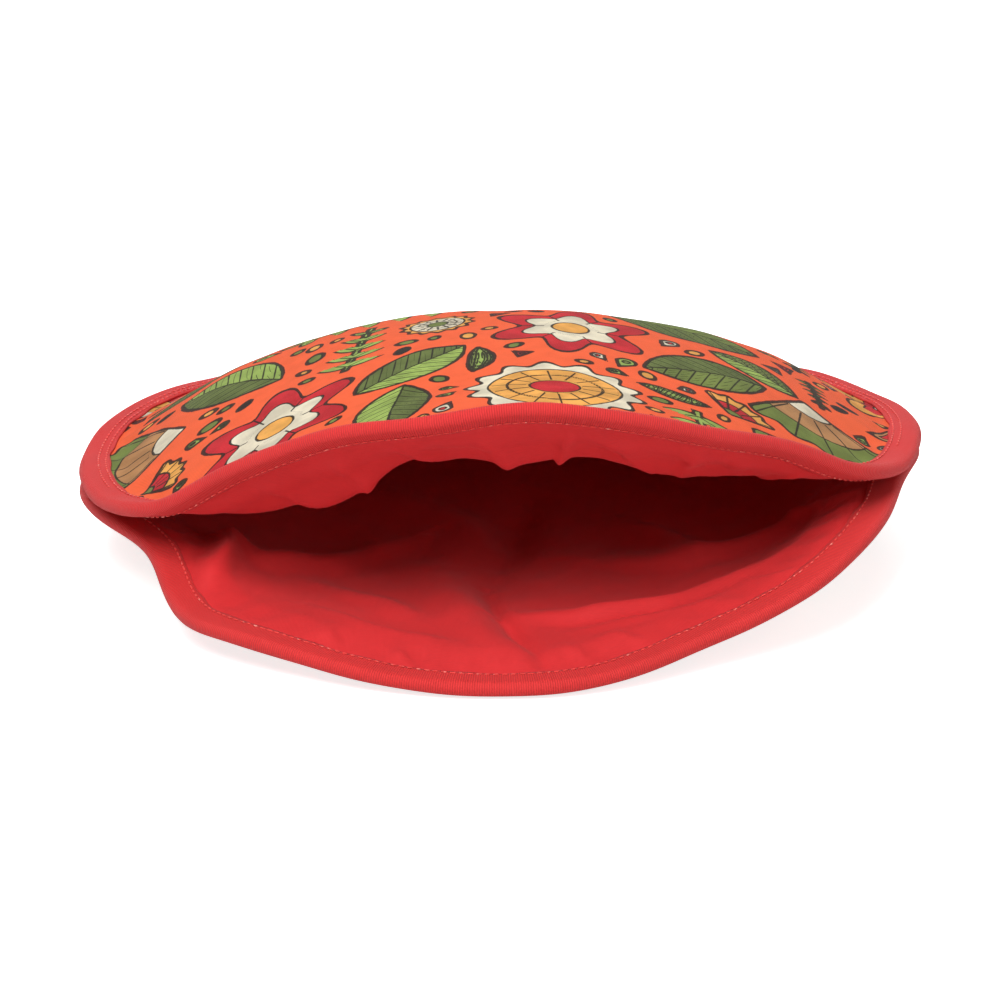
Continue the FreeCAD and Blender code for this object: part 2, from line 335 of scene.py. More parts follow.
def discBody(name, outerAt, innerAt, cells, up):
    # A closed layer: a fine skin that shows, and a skin half as fine behind it.
    dx, dy = discGrid(cells)
    cx, cy = discGrid(cells // 2)
    outer = outerAt(dx.ravel(), dy.ravel())
    inner = innerAt(cx.ravel(), cy.ravel())
    faces = gridQuads(cells)
    back = gridQuads(cells // 2)[:, ::-1] + len(outer)
    fineLoop = borderLoop(cells)
    coarseLoop = borderLoop(cells // 2) + len(outer)
    rim = []
    for k in range(len(coarseLoop)):
        coarse = [coarseLoop[k], coarseLoop[(k + 1) % len(coarseLoop)]]
        fine = [fineLoop[(2 * k + 2) % len(fineLoop)], fineLoop[2 * k + 1]]
        rim.append([int(v) for v in [fineLoop[2 * k]] + coarse + fine])
    every = faces.tolist() + back.tolist() + rim
    if not up:
        every = [face[::-1] for face in every]
    piece = addMesh(name, np.concatenate([outer, inner]), every)
    flatX = np.concatenate([dx.ravel(), cx.ravel()])
    flatY = np.concatenate([dy.ravel(), cy.ravel()])
    spread(piece, flatX * pouch["flatRadius"], flatY * pouch["flatRadius"])
    return piece


def onTable(points):
    points[:, 2] = np.maximum(points[:, 2], 0.0)
    return points


# Print of the cover: generic leaves, flowers, wheels, pods and moons in the photograph's colours
printed = {
    "seed": 7, "undersideSeed": 17,
    # Smallest and largest size, how many, the clear ground kept round them, and tries for each
    "large": (24.0, 33.0, 26, 1.8, 260),
    "middle": (12.0, 18.0, 80, 1.8, 120),
    "small": (3.2, 5.6, 190, 2.2, 36),
    "sampleStep": 2.2, "edgeKept": 2.0,
    "olive": (0.160, 0.205, 0.048), "moss": (0.116, 0.150, 0.040), "sprout": (0.310, 0.430, 0.100),
    "gold": (0.790, 0.380, 0.090), "tan": (0.440, 0.220, 0.090), "cream": (0.740, 0.670, 0.510),
    "red": (0.520, 0.022, 0.030), "ground": (0.830, 0.124, 0.044), "ink": (0.012, 0.007, 0.005),
}
far = 9.0  # stands for no line and no region


def blank(x):
    return np.full_like(x, far)


# Each motif gives five signed distances: outline, inside, core and two line fields.


def leaf(x, y, r):
    bow = 0.045 / r * x * x
    q = y + bow - 0.02 * r
    outline = np.hypot(x, np.abs(q) + 0.70 * r) - 1.22 * r
    ribs = (np.mod(x + 0.9 * np.abs(q), 0.24 * r) - 0.12 * r) * 0.75
    return outline, -q, blank(x), q, np.where(np.abs(ribs) < 0.085 * r, ribs, far)


def blossom(x, y, r):
    a = np.arctan2(y, x)
    d = np.hypot(x, y)
    outline = (d - r * (0.80 + 0.20 * np.cos(6 * a))) * 0.85
    ring = (d - r * (0.52 + 0.10 * np.cos(6 * a))) * 0.9
    petals = d * np.sin(3 * a + math.pi / 2) / 3
    petals = np.where(d > 0.3 * r, petals, far)
    return outline, ring, d - 0.22 * r, petals, blank(x)


def wheel(x, y, r):
    a = np.arctan2(y, x)
    d = np.hypot(x, y)
    outline = (d - r * (0.93 + 0.07 * np.cos(14 * a))) * 0.85
    spokes = np.where((d < 0.72 * r) & (d > 0.30 * r), d * np.sin(7 * a) / 7, far)
    return outline, d - 0.74 * r, d - 0.28 * r, spokes, np.abs(d - 0.53 * r) - 0.01 * r


def fan(x, y, r):
    d = np.hypot(x, y + 0.55 * r)
    a = np.arctan2(x, y + 0.55 * r)
    rim = d - r * (1.28 + 0.06 * np.cos(16 * a))
    outline = np.maximum(rim, (np.abs(a) - 0.88) * d)
    ribs = np.where(d > 0.42 * r, d * np.sin(8 * a) / 8, far)
    return outline, d - 0.86 * r, d - 0.40 * r, ribs, blank(x)


def diamond(x, y, r):
    norm = math.hypot(1, 0.62)
    size = (np.abs(x) * 0.62 + np.abs(y)) / norm
    return size - 0.52 * r, size - 0.34 * r, size - 0.15 * r, blank(x), blank(x)


def moon(x, y, r):
    outline = np.maximum(np.hypot(x, y) - 0.95 * r, 0.72 * r - np.hypot(x - 0.42 * r, y - 0.08 * r))
    arc = np.hypot(x - 0.12 * r, y) - 0.82 * r
    return outline, arc, blank(x), blank(x), blank(x)


def pod(x, y, r):
    # A long seed pod with a light middle and stripes that follow it.
    q = y - 0.16 * r * np.cos(1.5 * x / r)
    share = np.clip(1 - (x / r) ** 2, 0, None)
    outline = np.maximum(np.abs(q) - 0.34 * r * share ** 0.75, np.abs(x) - r) * 0.9
    stripes = (np.mod(q / np.maximum(share, 0.15), 0.17 * r) - 0.085 * r) * 0.8
    stripes = np.where(np.abs(stripes) < 0.06 * r, stripes, far)
    return outline, np.abs(q) - 0.16 * r * share, blank(x), stripes, blank(x)


def sprig(x, y, r):
    # A stem with paired leaflets.
    step = 0.36 * r
    k = np.clip(np.round((x + 0.1 * r) / step), -2, 2)
    cx = k * step - 0.1 * r
    size = 0.34 * r * (1 - 0.14 * (k + 2))
    ux, uy = 0.62, 0.78
    px = (x - cx) * ux + np.abs(y) * uy
    py = -(x - cx) * uy + np.abs(y) * ux
    leaflet = np.hypot(px - size, py * 2.1) - size
    stem = np.maximum(np.abs(y) - 0.045 * r, np.abs(x) - r)
    veins = np.where(np.abs(px) < 1.5 * size, py, far)
    return np.minimum(leaflet * 0.7, stem), blank(x), blank(x), veins, blank(x)


def drop(x, y, r):
    q = y + 0.2 * r
    outline = np.where(q > 0, np.abs(x) * 0.86 + q * 0.5 - 0.62 * r, np.hypot(x, q) - 0.62 * r)
    return outline, np.hypot(x, q) - 0.28 * r, blank(x), blank(x), blank(x)


def dot(x, y, r):
    d = np.hypot(x * 0.8, y * 1.15) - 0.62 * r
    return d, blank(x), blank(x), blank(x), blank(x)


def chip(x, y, r):
    a = np.maximum(np.abs(x) * 0.866 + y * 0.5, -y) - 0.5 * r
    return a, a + 0.3 * r, blank(x), blank(x), blank(x)


# What each motif is painted with: outside, inside and core colours
motifs = {
    "large": [
        (leaf, "moss", "sprout", "gold"), (blossom, "gold", "red", "cream"),
        (wheel, "cream", "gold", "red"), (fan, "olive", "tan", "cream"),
        (pod, "moss", "olive", "gold"), (sprig, "sprout", "olive", "gold"),
        (leaf, "olive", "moss", "gold"), (blossom, "red", "cream", "gold"),
    ],
    "middle": [
        (moon, "cream", "tan", "gold"), (diamond, "tan", "red", "cream"),
        (leaf, "sprout", "olive", "gold"), (blossom, "tan", "cream", "red"),
        (pod, "olive", "sprout", "gold"), (wheel, "gold", "cream", "olive"),
        (sprig, "olive", "moss", "gold"), (fan, "gold", "red", "olive"),
    ],
    "small": [
        (drop, "sprout", "olive", "gold"), (dot, "gold", "gold", "gold"),
        (chip, "cream", "gold", "gold"), (dot, "olive", "olive", "olive"),
        (drop, "cream", "red", "gold"), (dot, "ink", "ink", "ink"), (chip, "red", "red", "red"),
    ],
}


def motifAt(level, pick, px, py, turn, size):
    x = px * math.cos(turn) + py * math.sin(turn)
    y = -px * math.sin(turn) + py * math.cos(turn)
    return motifs[level][pick][0](x, y, size)


def layoutPrint(seed):
    # Motifs are thrown at the disc one by one and kept where they clear those already there.
    rng = np.random.default_rng(seed)
    radius = pouch["flatRadius"]
    axis = np.arange(-radius, radius + 1, printed["sampleStep"])
    gx, gy = np.meshgrid(axis, axis)
    gx, gy = gx.ravel(), gy.ravel()
    taken = np.full(gx.shape, 30.0)
    kept = []
    for level in ("large", "middle", "small"):
        low, high, most, clear, tries = printed[level]
        placed = 0
        last = -1
        for attempt in range(most * tries):
            if placed >= most:
                break
            pick = int(rng.integers(len(motifs[level])))
            if pick == last:
                continue
            turn = rng.uniform(0, 2 * math.pi)
            size = rng.uniform(low, high)
            cx, cy = rng.uniform(-radius, radius, 2)
            if math.hypot(cx, cy) > radius - printed["edgeKept"]:
                continue
            close = np.hypot(gx - cx, gy - cy) < 1.7 * size + 8
            own = motifAt(level, pick, gx[close] - cx, gy[close] - cy, turn, size)[0]
            both = np.where(own < 7, own, 99)
            if np.any(both + taken[close] < clear) or np.any(np.maximum(both, taken[close]) < 0.5 * clear):
                continue
            taken[close] = np.minimum(taken[close], own)
            kept.append((level, pick, cx, cy, turn, size))
            placed += 1
            last = pick
    return kept


def printOn(piece, seed):
    # Each face belongs to the motif nearest to it, so a motif's lines are exact at its own corners.
    kept = layoutPrint(seed)
    mesh = piece.data
    corners = len(mesh.loops)
    uv = np.empty(corners * 2, dtype=np.float32)
    mesh.uv_layers["flat"].data.foreach_get("uv", uv)
    uv = uv.reshape(-1, 2).astype(float) / pouch["toMetres"]
    starts = np.empty(len(mesh.polygons), dtype=np.int32)
    totals = np.empty(len(mesh.polygons), dtype=np.int32)
    mesh.polygons.foreach_get("loop_start", starts)
    mesh.polygons.foreach_get("loop_total", totals)
    faceOf = np.repeat(np.arange(len(totals)), totals)
    middle = np.stack([np.bincount(faceOf, uv[:, k], len(totals)) / totals for k in range(2)], -1)
    best = np.full(len(totals), 60.0)
    owner = np.full(len(totals), -1)
    for number, (level, pick, cx, cy, turn, size) in enumerate(kept):
        close = np.nonzero(np.hypot(middle[:, 0] - cx, middle[:, 1] - cy) < 1.7 * size + 12)[0]
        own = motifAt(level, pick, middle[close, 0] - cx, middle[close, 1] - cy, turn, size)[0]
        nearer = own < best[close]
        best[close[nearer]] = own[nearer]
        owner[close[nearer]] = number
    fields = np.full((5, corners), far)
    tints = np.zeros((3, corners, 4), dtype=np.float32)
    tints[:, :, 3] = 1
    cornerOwner = owner[faceOf]
    for number, (level, pick, cx, cy, turn, size) in enumerate(kept):
        own = np.nonzero(cornerOwner == number)[0]
        if not len(own):
            continue
        values = motifAt(level, pick, uv[own, 0] - cx, uv[own, 1] - cy, turn, size)
        for k in range(len(fields)):
            fields[k, own] = values[k]
        for k, colour in enumerate(motifs[level][pick][1:]):
            tints[k, own, :3] = printed[colour]
    for k, name in enumerate(("outline", "inside", "core", "lineA", "lineB")):
        store = mesh.attributes.new(name, "FLOAT", "CORNER")
        store.data.foreach_set("value", fields[k].astype(np.float32))
    for k, name in enumerate(("bodyTint", "insideTint", "coreTint")):
        store = mesh.attributes.new(name, "FLOAT_COLOR", "CORNER")
        store.data.foreach_set("color", tints[k].ravel())
    print("print motifs", piece.name, len(kept))


class shade:
    # Adds nodes to a tree with few words.
    def __init__(self, tree):
        self.tree = tree

    def node(self, kind, values=None, **settings):
        made = self.tree.nodes.new(kind)
        for key, value in settings.items():
            setattr(made, key, value)
        for key, value in (values or {}).items():
            socket = made.inputs[key]
            if isinstance(value, bpy.types.NodeSocket):
                self.tree.links.new(value, socket)
            else:
                socket.default_value = value
        return made

    def math(self, operation, a, b=0.0, c=0.0):
        return self.node("ShaderNodeMath", {0: a, 1: b, 2: c}, operation=operation).outputs[0]

    def mix(self, factor, a, b, blend="MIX"):
        made = self.node("ShaderNodeMix", {0: factor, 6: a, 7: b}, data_type="RGBA", blend_type=blend)
        return made.outputs[2]

    def attribute(self, name):
        made = self.node("ShaderNodeAttribute")
        made.attribute_name = name
        return made

    def noise(self, vector, scale, detail=2.0):
        made = self.node("ShaderNodeTexNoise", {"Vector": vector, "Scale": scale, "Detail": detail})
        return made.outputs[0]

    def gray(self, level):
        return self.node("ShaderNodeCombineColor", {0: level, 1: level, 2: level}).outputs[0]

    def stretched(self, vector, factors):
        made = self.node("ShaderNodeVectorMath", {0: vector, 1: factors}, operation="MULTIPLY")
        return made.outputs[0]

    def range(self, value, low, high, toLow=0.0, toHigh=1.0):
        made = self.node("ShaderNodeMapRange", {0: value, 1: low, 2: high, 3: toLow, 4: toHigh})
        return made.outputs[0]


def threadGroup():
    # Height of parallel threads: round ridges at a pitch and a turn, slightly wobbly.
    tree = bpy.data.node_groups.new("threadLines", "ShaderNodeTree")
    tree.interface.new_socket("Vector", in_out="INPUT", socket_type="NodeSocketVector")
    for name, value in (("Turn", 0.0), ("Pitch", 0.001), ("Wobble", 0.1)):
        tree.interface.new_socket(name, in_out="INPUT", socket_type="NodeSocketFloat").default_value = value
    tree.interface.new_socket("Height", in_out="OUTPUT", socket_type="NodeSocketFloat")
    s = shade(tree)
    given = s.node("NodeGroupInput")
    out = s.node("NodeGroupOutput")
    parts = s.node("ShaderNodeSeparateXYZ", {0: given.outputs["Vector"]})
    across = s.math("MULTIPLY", parts.outputs[0], s.math("COSINE", given.outputs["Turn"]))
    across = s.math("MULTIPLY_ADD", parts.outputs[1], s.math("SINE", given.outputs["Turn"]), across)
    drift = s.math("SUBTRACT", s.noise(given.outputs["Vector"], 90.0), 0.5)
    wobble = s.math("MULTIPLY", drift, s.math("MULTIPLY", given.outputs["Wobble"], given.outputs["Pitch"]))
    phase = s.math("DIVIDE", s.math("ADD", across, wobble), given.outputs["Pitch"])
    height = s.math("ABSOLUTE", s.math("SINE", s.math("MULTIPLY", phase, math.pi)))
    tree.links.new(height, out.inputs[0])
    return tree


threads = threadGroup()


def threadLines(s, vector, turn, pitch, wobble):
    made = s.node("ShaderNodeGroup", node_tree=threads)
    s.tree.links.new(vector, made.inputs["Vector"])
    for name, value in (("Turn", turn), ("Pitch", pitch), ("Wobble", wobble)):
        made.inputs[name].default_value = value
    return made.outputs[0]


def newMaterial(name):
    material = bpy.data.materials.new(name)
    material.use_nodes = True
    tree = material.node_tree
    tree.nodes.clear()
    s = shade(tree)
    shader = s.node("ShaderNodeBsdfPrincipled")
    s.node("ShaderNodeOutputMaterial", {0: shader.outputs[0]})
    return material, s, shader


clothFinish = {"specular": 0.15, "sheenRoughness": 0.45, "bumpStrength": 0.6}


def finishCloth(s, shader, tint, height, look):
    s.tree.links.new(tint, shader.inputs["Base Color"])
    shader.inputs["Roughness"].default_value = look["roughness"]
    shader.inputs["Specular IOR Level"].default_value = clothFinish["specular"]
    shader.inputs["Sheen Weight"].default_value = look["sheen"]
    shader.inputs["Sheen Roughness"].default_value = clothFinish["sheenRoughness"]
    strength = clothFinish["bumpStrength"]
    relief = s.node("ShaderNodeBump", {"Strength": strength, "Distance": look["relief"], "Height": height})
    s.tree.links.new(relief.outputs[0], shader.inputs["Normal"])


def printedCloth():
    look = {
        "outline": 0.78, "lines": 0.36, "bleed": 0.10, "ragged": 0.55,  # in mm of print
        "inkStrength": 0.96,
        "twill": (0.9, 0.00078, 0.5), "weft": (-0.5, 0.00052, 0.4),  # turn, pitch in metres, wobble
        "roughness": 0.72, "sheen": 0.02, "relief": 0.00022,
    }
    material, s, shader = newMaterial("printedCloth")
    uv = s.node("ShaderNodeUVMap", uv_map="flat").outputs[0]
    rag = s.math("MULTIPLY", s.math("SUBTRACT", s.noise(uv, 420.0), 0.5), look["ragged"])
    width = s.range(s.noise(uv, 130.0), 0.3, 0.7, 0.75, 1.30)

    def field(name):
        return s.attribute(name).outputs["Fac"]

    def colour(name):
        return s.attribute(name).outputs["Color"]

    def region(distance):
        return s.range(distance, look["bleed"], -look["bleed"])

    def inked(distance, half, gate):
        away = s.math("SUBTRACT", s.math("ABSOLUTE", distance), s.math("MULTIPLY", width, half))
        return s.math("MULTIPLY", region(away), gate)

    shape = s.math("ADD", field("outline"), rag)
    inside = s.math("ADD", field("inside"), rag)
    core = s.math("ADD", field("core"), rag)
    inShape = region(shape)
    tint = s.mix(inShape, (*printed["ground"], 1), colour("bodyTint"))
    tint = s.mix(s.math("MULTIPLY", region(inside), inShape), tint, colour("insideTint"))
    tint = s.mix(s.math("MULTIPLY", region(core), inShape), tint, colour("coreTint"))
    handShade = s.range(s.noise(uv, 75.0, 3.0), 0.40, 0.62, 0.80, 1.10)  # as if coloured by hand
    tint = s.mix(inShape, tint, s.mix(1.0, tint, s.gray(handShade), "MULTIPLY"))
    ink = inked(shape, look["outline"], 1.0)
    for distance, share in ((inside, 1.2), (core, 1.2), (field("lineA"), 1.0), (field("lineB"), 0.8)):
        ink = s.math("MAXIMUM", ink, inked(distance, look["lines"] * share, inShape))
    tint = s.mix(s.math("MULTIPLY", ink, look["inkStrength"]), tint, (*printed["ink"], 1))
    twill = threadLines(s, uv, *look["twill"])
    weft = threadLines(s, uv, *look["weft"])
    mottle = s.range(s.noise(uv, 160.0, 4.0), 0.3, 0.7, 0.95, 1.04)
    level = s.math("MULTIPLY", mottle, s.range(twill, 0.0, 1.0, 0.76, 1.08))
    tint = s.mix(1.0, tint, s.gray(level), "MULTIPLY")
    finishCloth(s, shader, tint, s.math("ADD", twill, s.math("MULTIPLY", weft, 0.3)), look)
    return material


black = (0.0, 0.0, 0.0, 1.0)


def redLining():
    look = {
        "colour": (0.63, 0.030, 0.033, 1.0), "thread": 0.00042, "wobble": 0.6,
        "roughness": 0.62, "sheen": 0.04, "relief": 0.00008,
    }
    material, s, shader = newMaterial("redLining")
    uv = s.node("ShaderNodeUVMap", uv_map="flat").outputs[0]
    warp = threadLines(s, uv, 0.0, look["thread"], look["wobble"])
    weft = threadLines(s, uv, math.pi / 2, look["thread"], look["wobble"])
    slub = s.range(s.noise(s.stretched(uv, (1.0, 9.0, 1.0)), 260.0, 3.0), 0.3, 0.7, 0.94, 1.05)
    patchy = s.range(s.noise(uv, 22.0), 0.3, 0.7, 0.95, 1.05)
    weave = s.math("MULTIPLY", warp, weft)
    level = s.math("MULTIPLY", s.math("MULTIPLY", slub, patchy), s.range(weave, 0.0, 1.0, 0.95, 1.03))
    finishCloth(s, shader, s.mix(level, black, look["colour"]), weave, look)
    return material


def redTape():
    look = {
        "colour": (0.66, 0.034, 0.034, 1.0), "rib": 0.00078, "thread": 0.00040,
        "roughness": 0.60, "sheen": 0.05, "relief": 0.00030,
    }
    material, s, shader = newMaterial("redTape")
    uv = s.node("ShaderNodeUVMap", uv_map="flat").outputs[0]
    ribs = threadLines(s, uv, 0.0, look["rib"], 0.35)
    fine = threadLines(s, uv, math.pi / 2, look["thread"], 0.5)
    worn = s.range(s.noise(uv, 60.0, 3.0), 0.3, 0.7, 0.93, 1.05)
    level = s.math("MULTIPLY", s.range(ribs, 0.0, 1.0, 0.70, 1.06), worn)
    relief = s.math("ADD", ribs, s.math("MULTIPLY", fine, 0.25))
    finishCloth(s, shader, s.mix(level, black, look["colour"]), relief, look)
    return material


def redThread():
    look = {
        "colour": (0.80, 0.070, 0.060, 1.0), "paintedHighlight": (0.97, 0.50, 0.42, 1.0), "highlightShare": 0.6,
        "twist": (0.8, 0.00022, 0.3), "roughness": 0.42, "sheen": 0.1, "relief": 0.00006,
    }
    material, s, shader = newMaterial("redThread")
    place = s.node("ShaderNodeTexCoord").outputs["Object"]
    # Pale spots on the thread are painted highlights, standing in for light that glints on its twist.
    paintedHighlight = s.range(s.noise(place, 900.0, 1.0), 0.58, 0.72)
    tint = s.mix(s.math("MULTIPLY", paintedHighlight, look["highlightShare"]), look["colour"], look["paintedHighlight"])
    finishCloth(s, shader, tint, threadLines(s, place, *look["twist"]), look)
    return material


def waddingFibre():
    look = {
        "shade": (0.62, 0.61, 0.57, 1.0), "light": (0.82, 0.81, 0.78, 1.0), "fibre": 1200.0,
        "roughness": 0.95, "sheen": 0.3, "relief": 0.0006,
    }
    material, s, shader = newMaterial("waddingFibre")
    place = s.node("ShaderNodeTexCoord").outputs["Object"]
    fibre = s.noise(s.stretched(place, (1.0, 1.0, 4.0)), look["fibre"], 5.0)
    tint = s.mix(s.range(fibre, 0.3, 0.7), look["shade"], look["light"])
    finishCloth(s, shader, tint, fibre, look)
    return material


materials = {
    "printed_cloth": printedCloth(), "red_lining": redLining(), "red_tape": redTape(),
    "red_thread": redThread(), "wadding": waddingFibre(),
}


def take(piece, node, slot):
    piece.data.materials.clear()
    piece.data.materials.append(materials[slot])
    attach(piece, "root")
    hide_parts(node)


# Layers of the two discs: cells across each net, and room left round the wadding, in mm
layers = {
    "coverCells": 256, "underCells": 210, "liningCells": 230, "waddingCells": 120,
    "loose": 1.2, "leastWadding": 0.3, "leastLoft": 0.4,
}
p = pouch


def layerPoints(surface, offset, extra=None):
    def at(dx, dy):
        face = offset(dx, dy)
        if extra is not None:
            face = face + extra(dx, dy)
        return onTable(surface(dx, dy) + normal(surface, dx, dy) * face[:, None])
    return at


def constant(value):
    return lambda dx, dy: np.full(dx.shape, float(value))


def coverBody(name, surface, outside, slackAt, cells):
    outer = layerPoints(surface, constant(outside * halfPack), slackAt)
    inner = layerPoints(surface, constant(outside * (halfPack - p["cover"])), slackAt)
    return discBody(name, outer, inner, cells, outside > 0)


def liningBody(name, surface, outside, depth, foldsOf):
    def face(distance):
        return lambda dx, dy: outside * (halfPack - depth(dx, dy) + distance)

    def folded(dx, dy):
        return -outside * foldsOf(dx, dy)

    inner = layerPoints(surface, face(0.0), folded)
    outer = layerPoints(surface, face(p["lining"]), folded)
    return discBody(name, inner, outer, layers["liningCells"], outside < 0)


def waddingBody(name, surface, outside, depth, foldsOf, slackAt):
    # The wadding stays under the lining wherever that folds, and never reaches through the cover.
    clearOf = p["cover"] + p["layerGap"]

    def padFace(dx, dy):
        free = loftIn(dx, dy)
        under = depth(dx, dy) - p["lining"] - p["layerGap"] - layers["loose"] * free
        under = under + np.minimum(0, foldsOf(dx, dy))
        least = clearOf + layers["leastWadding"] + layers["leastLoft"] * free
        return outside * (halfPack - np.maximum(under, least))

    outer = layerPoints(surface, constant(outside * (halfPack - clearOf)), slackAt)
    return discBody(name, outer, layerPoints(surface, padFace), layers["waddingCells"], outside > 0)


upperCover = coverBody("upper_cover_cloth", upperMiddle, 1, upperSlack, layers["coverCells"])
lowerCover = coverBody("lower_cover_cloth", lowerMiddle, -1, lowerSlack, layers["underCells"])
upperLining = liningBody("upper_lining_cloth", upperMiddle, 1, upperDepth, upperFolds)
lowerLining = liningBody("lower_lining_cloth", lowerMiddle, -1, lowerDepth, lowerFolds)
upperPad = waddingBody("upper_wadding_pad", upperMiddle, 1, upperDepth, upperFolds, upperSlack)
lowerPad = waddingBody("lower_wadding_pad", lowerMiddle, -1, lowerDepth, lowerFolds, lowerSlack)
printOn(upperCover, printed["seed"])
printOn(lowerCover, printed["undersideSeed"])
take(upperCover, "upper_cover", "printed_cloth")
take(lowerCover, "lower_cover", "printed_cloth")
take(upperLining, "upper_lining", "red_lining")
take(lowerLining, "lower_lining", "red_lining")
take(upperPad, "upper_wadding", "wadding")
take(lowerPad, "lower_wadding", "wadding")


# Tape folded over each raw edge
tapeLook = {
    "around": 760, "roll": 12, "legSteps": 6,  # steps round the disc, over the roll and along a leg
    "legWave": 0.25, "swell": 0.12, "upperInnerLeg": 5.4,
}


def rimFrame(surface, angles):
    dx, dy = np.sin(angles), -np.cos(angles)
    edge = surface(dx, dy)
    step = 0.001
    ahead = surface(np.sin(angles + step), -np.cos(angles + step))
    along = unit(ahead - edge)
    up = normal(surface, dx, dy)
    outward = unit(np.cross(along, up))
    return dx, dy, edge, outward, up


def onLeg(surface, angles, inset, offset):
    dx, dy, edge, outward, up = rimFrame(surface, angles)
    step = 0.01
    inner = surface(dx * (1 - step), dy * (1 - step))
    share = 1 - step * inset / np.abs(np.sum((edge - inner) * outward, -1))
    px, py = dx * share, dy * share
    return surface(px, py) + normal(surface, px, py) * np.reshape(offset, (-1, 1))


def tapeRows(surface, angles, half, look, underLeg):
    rows = []
    wavy = p["tapeLeg"] + look["legWave"] * (np.sin(31 * angles) + np.sin(47 * angles + 1))
    puff = half + look["swell"] * np.sin(19 * angles + 1) * np.sin(7 * angles)
    for k in range(look["legSteps"]):
        share = 1 - k / look["legSteps"]
        rows.append(onLeg(surface, angles, wavy * share, puff))
    dx, dy, edge, outward, up = rimFrame(surface, angles)
    for k in range(look["roll"] + 1):
        turn = math.pi / 2 - math.pi * k / look["roll"]
        rolled = outward * (puff * math.cos(turn))[:, None] + up * (puff * math.sin(turn))[:, None]
        rows.append(edge + rolled)
    for k in range(look["legSteps"]):
        inset = wavy * (k + 1) / look["legSteps"] * underLeg / p["tapeLeg"]
        rows.append(onLeg(surface, angles, inset, -puff))
    return np.stack(rows, 1)


def tape(name, surface, underLeg):
    look = tapeLook
    gap = p["tapeJoin"] / 2 / p["halfWidth"]
    angles = np.linspace(-math.pi + gap, math.pi - gap, look["around"] + 1)
    outer = tapeRows(surface, angles, tapeOutside, look, underLeg)
    inner = tapeRows(surface, angles, tapeInside, look, underLeg)
    n, m = outer.shape[0], outer.shape[1]
    ring = np.concatenate([outer, inner[:, ::-1]], 1)
    ring[:, :, 2] = np.maximum(ring[:, :, 2], 0.0)
    size = 2 * m
    faces = []
    for i in range(n - 1):
        for j in range(size):
            k = (j + 1) % size
            faces.append([i * size + j, i * size + k, (i + 1) * size + k, (i + 1) * size + j])
    faces.append(list(range(size))[::-1])
    faces.append([(n - 1) * size + j for j in range(size)])
    piece = addMesh(name, ring.reshape(-1, 3), faces)
    across = np.concatenate([[0], np.cumsum(np.linalg.norm(np.diff(outer[n // 2], axis=0), axis=-1))])
    length = np.concatenate([[0], np.cumsum(np.linalg.norm(np.diff(outer[:, m // 2], axis=0), axis=-1))])
    across = np.concatenate([across, across[::-1]])
    u = np.repeat(length[:, None], size, 1).ravel()
    v = np.repeat(across[None, :], n, 0).ravel()
    spread(piece, u, v)
    return piece, (across.max() * pouch["toMetres"], length.max() * pouch["toMetres"])


upperTape, upperTapeSize = tape("upper_binding_tape", upperMiddle, tapeLook["upperInnerLeg"])
lowerTape, lowerTapeSize = tape("lower_binding_tape", lowerMiddle, p["tapeLeg"])
take(upperTape, "upper_binding", "red_tape")
take(lowerTape, "lower_binding", "red_tape")
print("tape", upperTapeSize, lowerTapeSize)


# Rows of stitches, repeated along their line by Geometry Nodes
stitchLook = {
    "spacing": 2.75, "length": 2.1, "width": 0.62, "height": 0.42, "seed": 3,
    "rowPoints": 900, "rowEnd": 179.8,  # the row's points, and its end at the back in degrees
}


def stitchNodes():
    tree = bpy.data.node_groups.new("stitchRow", "GeometryNodeTree")
    tree.interface.new_socket("Geometry", in_out="INPUT", socket_type="NodeSocketGeometry")
    for name, value in (("Spacing", 0.00275), ("Length", 0.0021), ("Width", 0.0006), ("Height", 0.0004)):
        tree.interface.new_socket(name, in_out="INPUT", socket_type="NodeSocketFloat").default_value = value
    tree.interface.new_socket("Seed", in_out="INPUT", socket_type="NodeSocketInt").default_value = 3
    tree.interface.new_socket("Material", in_out="INPUT", socket_type="NodeSocketMaterial")
    tree.interface.new_socket("Geometry", in_out="OUTPUT", socket_type="NodeSocketGeometry")
    s = shade(tree)
    given = s.node("NodeGroupInput")
    out = s.node("NodeGroupOutput")
    line = s.node("GeometryNodeMeshToCurve", {0: given.outputs["Geometry"]})
    spaced = s.node("GeometryNodeResampleCurve", {
        "Curve": line.outputs[0], "Length": given.outputs["Spacing"]}, mode="LENGTH")
    tangent = s.node("GeometryNodeInputTangent")
    turned = s.node("FunctionNodeAlignRotationToVector", {"Vector": tangent.outputs[0]}, axis="X")
    wobble = s.node("FunctionNodeRandomValue", {"Seed": given.outputs["Seed"]}, data_type="FLOAT")
    wobble.inputs[2].default_value = 0.82
    wobble.inputs[3].default_value = 1.12
    long = s.math("MULTIPLY", given.outputs["Length"], wobble.outputs[1])
    ball = s.node("GeometryNodeMeshUVSphere", {"Segments": 8, "Rings": 6, "Radius": 0.5})
    scale = s.node("ShaderNodeCombineXYZ", {0: long, 1: given.outputs["Width"], 2: given.outputs["Height"]})
    placed = s.node("GeometryNodeInstanceOnPoints", {
        "Points": spaced.outputs[0], "Instance": ball.outputs[0],
        "Rotation": turned.outputs[0], "Scale": scale.outputs[0]})
    real = s.node("GeometryNodeRealizeInstances", {0: placed.outputs[0]})
    painted = s.node("GeometryNodeSetMaterial", {
        "Geometry": real.outputs[0], "Material": given.outputs["Material"]})
    tree.links.new(painted.outputs[0], out.inputs[0])
    return tree


stitchTree = stitchNodes()


